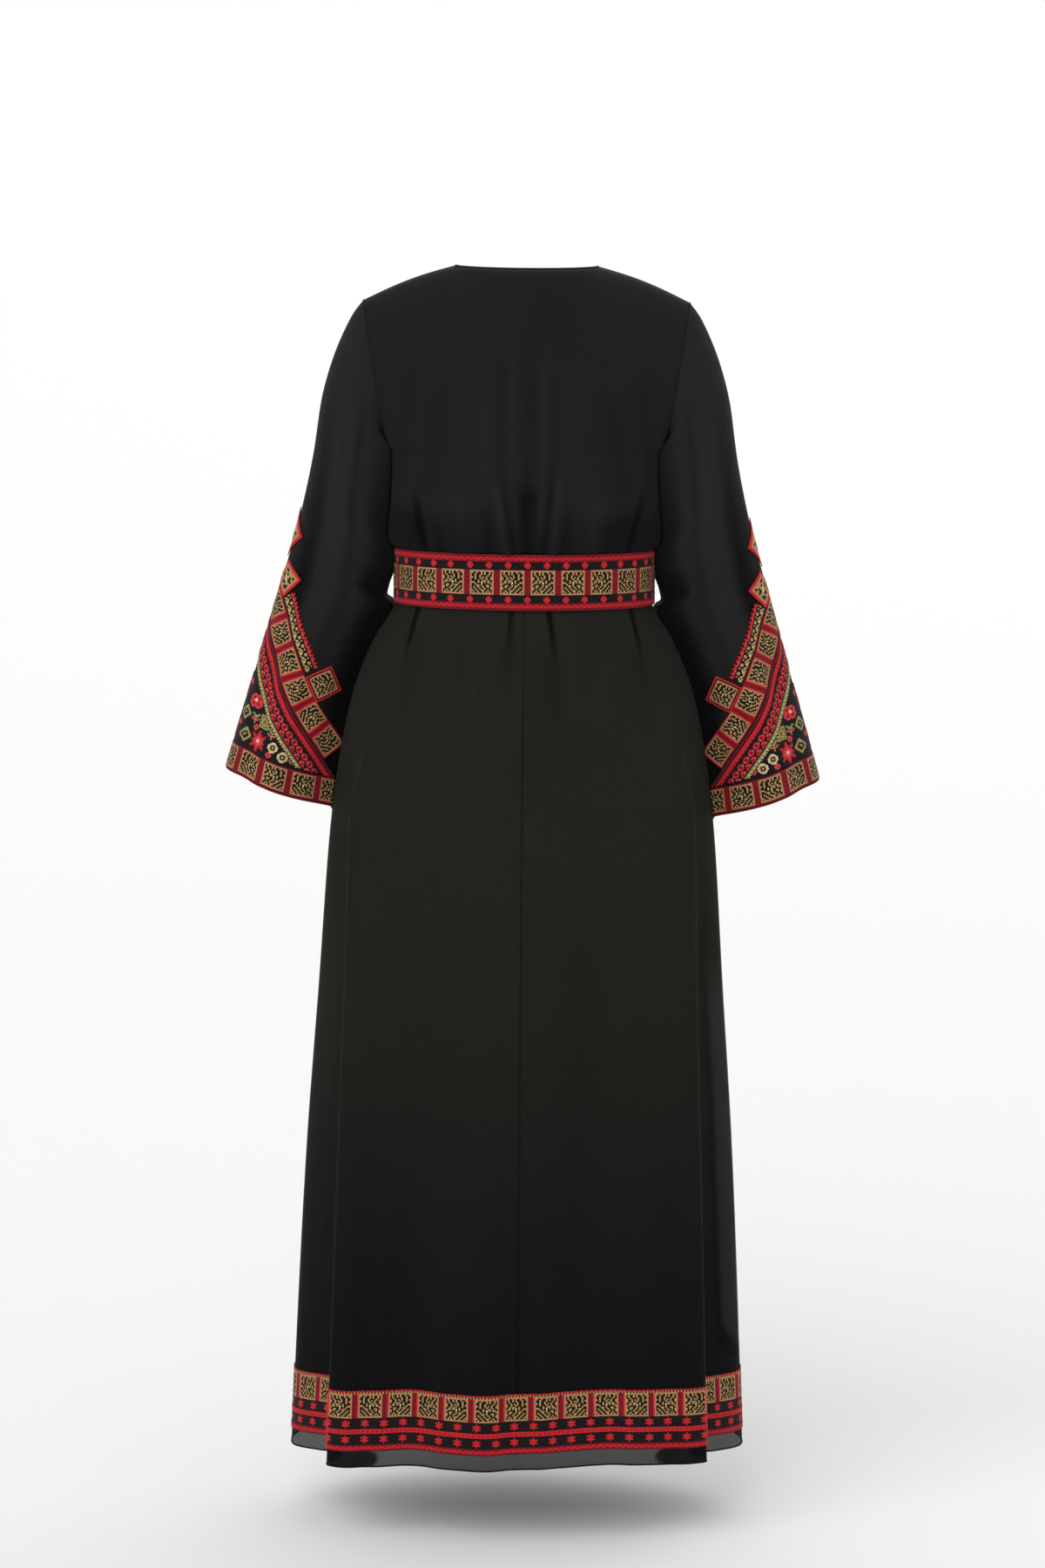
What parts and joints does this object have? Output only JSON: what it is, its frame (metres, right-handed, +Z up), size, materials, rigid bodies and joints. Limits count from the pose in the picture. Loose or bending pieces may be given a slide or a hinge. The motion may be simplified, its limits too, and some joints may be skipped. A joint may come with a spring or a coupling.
{
  "type": "embroidered dress",
  "caption": "Long black dress with wide flared sleeves, a blouson bodice and embroidered belt, cuffs and hem, in the hollow form that it has when worn.",
  "frame": {"origin": "midway between the two neck points, where the shoulders hold the dress", "axes": "+Z up, +Y out of the back of the dress, +X to the wearer's left"},
  "size_m": [0.7394, 0.3472, 1.4641],
  "materials": {
    "black_cloth": "soft matt crepe with a fine sheen",
    "belt": "counted embroidery in red, gold and black thread",
    "bands": "counted embroidery in red, gold and black thread"
  },
  "bodies": {
    "root": {"bodice_back": "black_cloth", "bodice_front": "black_cloth", "sleeve_left": "black_cloth", "sleeve_right": "black_cloth", "skirt_back_left": "black_cloth", "skirt_back_right": "black_cloth", "skirt_front": "black_cloth", "belt": "belt", "hem_band_back_left": "bands", "hem_band_back_right": "bands", "hem_band_front": "bands", "cuff_band_left": "bands", "cuff_band_right": "bands"}
  },
  "joints": []
}
